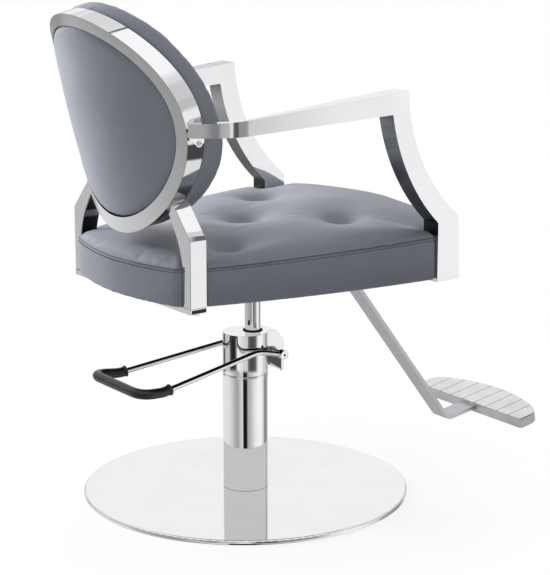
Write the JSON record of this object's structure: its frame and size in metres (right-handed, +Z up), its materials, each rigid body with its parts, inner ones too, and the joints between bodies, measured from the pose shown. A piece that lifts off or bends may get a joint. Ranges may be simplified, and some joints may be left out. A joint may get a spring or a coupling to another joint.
{
  "type": "hydraulic salon styling chair",
  "caption": "Salon styling chair with an oval padded back in a bent metal ring, sabre-leg arms, tufted seat, T footrest, pump pedal and hydraulic column on a round base.",
  "frame": {"origin": "centre of the base disc at its underside, where it stands on the floor", "axes": "+Z up along the column, the seat faces -Y, +X to the left of the person who sits in it"},
  "size_m": [0.5799, 0.9495, 0.8828],
  "materials": {
    "chrome": "mirror polished",
    "steel": "zinc plated",
    "iron": "painted casting",
    "brass": "machined",
    "rubber": "moulded",
    "grip_rubber": "moulded, slightly glossy",
    "black_metal": "satin black paint",
    "black_plastic": "matte",
    "plywood": "raw plywood",
    "upholstery": "soft grey leatherette, slight sheen",
    "satin_metal": "satin"
  },
  "bodies": {
    "base": {"base_plate": "iron", "base_cover": "chrome", "base_bolts": "steel", "pump_foot": "iron", "main_cylinder": "steel", "plunger_barrel": "steel", "column_sleeve": "chrome", "pump_head": "chrome", "guide_bush": "brass", "piston_wiper": "rubber", "shaft_bushes": "brass", "plunger_spring": "steel"},
    "lift": {"piston_rod": "chrome", "piston_seal": "rubber"},
    "seat": {"swivel_hub": "black_metal", "hub_screw": "steel", "seat_mount_plate": "black_metal", "mount_bolts": "steel", "side_rail_left": "black_metal", "side_rail_right": "black_metal", "rear_rail": "chrome", "front_rail": "chrome", "rail_end_caps": "black_plastic", "seat_board": "plywood", "seat_cushion": "upholstery", "rear_post_left": "chrome", "rear_post_right": "chrome", "frame_screws": "steel", "back_ring": "chrome", "back_board": "plywood", "back_panel": "upholstery", "back_cushion": "upholstery", "arm_left": "chrome", "arm_right": "chrome", "arm_tabs": "chrome", "arm_screws": "steel", "footrest_bar": "satin_metal", "bar_bolts": "steel", "footrest_tread": "satin_metal", "tread_screws": "steel"},
    "pedal": {"pedal_shaft": "steel", "pump_rocker": "steel", "pedal_bar": "chrome", "pedal_grip": "grip_rubber", "boss_screws": "steel"},
    "plunger": {"pump_plunger": "steel"}
  },
  "joints": [
    {"name": "height_slide", "type": "slide", "parent": "base", "child": "lift", "axis": [0, 0, 1], "range_m": [-0.03, 0.1]},
    {"name": "seat_swivel", "type": "hinge", "parent": "lift", "child": "seat", "pos_m": [0, -0.016, 0.37], "axis": [0, 0, 1], "range_deg": [-150, 150]},
    {"name": "pedal_hinge", "type": "hinge", "parent": "base", "child": "pedal", "pos_m": [0, -0.042, 0.2555], "axis": [1, 0, 0], "range_deg": [-18, 0], "stiffness_Nm_per_rad": 8, "springref_deg": 28.65},
    {"name": "plunger_slide", "type": "slide", "parent": "base", "child": "plunger", "axis": [0, 0, 1], "range_m": [-0.0192, 0], "deforming": ["plunger_spring"]}
  ],
  "couplings": [
    {"joint": "plunger_slide", "follows": "pedal_hinge", "m_per_rad": 0.061}
  ]
}
